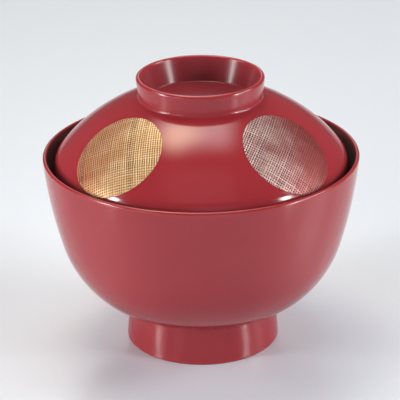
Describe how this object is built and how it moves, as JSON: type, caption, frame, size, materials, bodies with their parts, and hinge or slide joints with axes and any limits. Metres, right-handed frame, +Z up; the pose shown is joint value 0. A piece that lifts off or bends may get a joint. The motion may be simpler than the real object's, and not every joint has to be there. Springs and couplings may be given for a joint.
{
  "type": "lidded soup bowl",
  "caption": "Red lacquered wooden soup bowl on a foot ring, black inside, with a drop-in domed lid, ring knob and gold and silver roundels.",
  "frame": {"origin": "middle of the foot's standing face, on the surface that the bowl stands on", "axes": "+Z up along the bowl's axis, -Y to the front between the two roundels, +X to the silver roundel's side"},
  "size_m": [0.12, 0.12, 0.1065],
  "materials": {
    "turned_wood": "bare turned wood, sealed inside the lacquer",
    "red_lacquer": "gloss",
    "black_lacquer": "gloss",
    "gold_cloth": "gold leaf on open plain-woven cloth",
    "silver_cloth": "silver leaf on open plain-woven cloth"
  },
  "bodies": {
    "bowl": {"bowl_core": "turned_wood", "bowl_outer_coat": "red_lacquer", "bowl_lining": "black_lacquer", "foot_coat": "red_lacquer"},
    "lid": {"lid_core": "turned_wood", "lid_outer_coat": "red_lacquer", "lid_lining": "black_lacquer", "knob_well_coat": "red_lacquer", "gold_roundel": "gold_cloth", "silver_roundel": "silver_cloth"}
  },
  "joints": [
    {"name": "lid_lift", "type": "slide", "parent": "bowl", "child": "lid", "axis": [0, 0, 1], "range_m": [0, 0.12]}
  ]
}
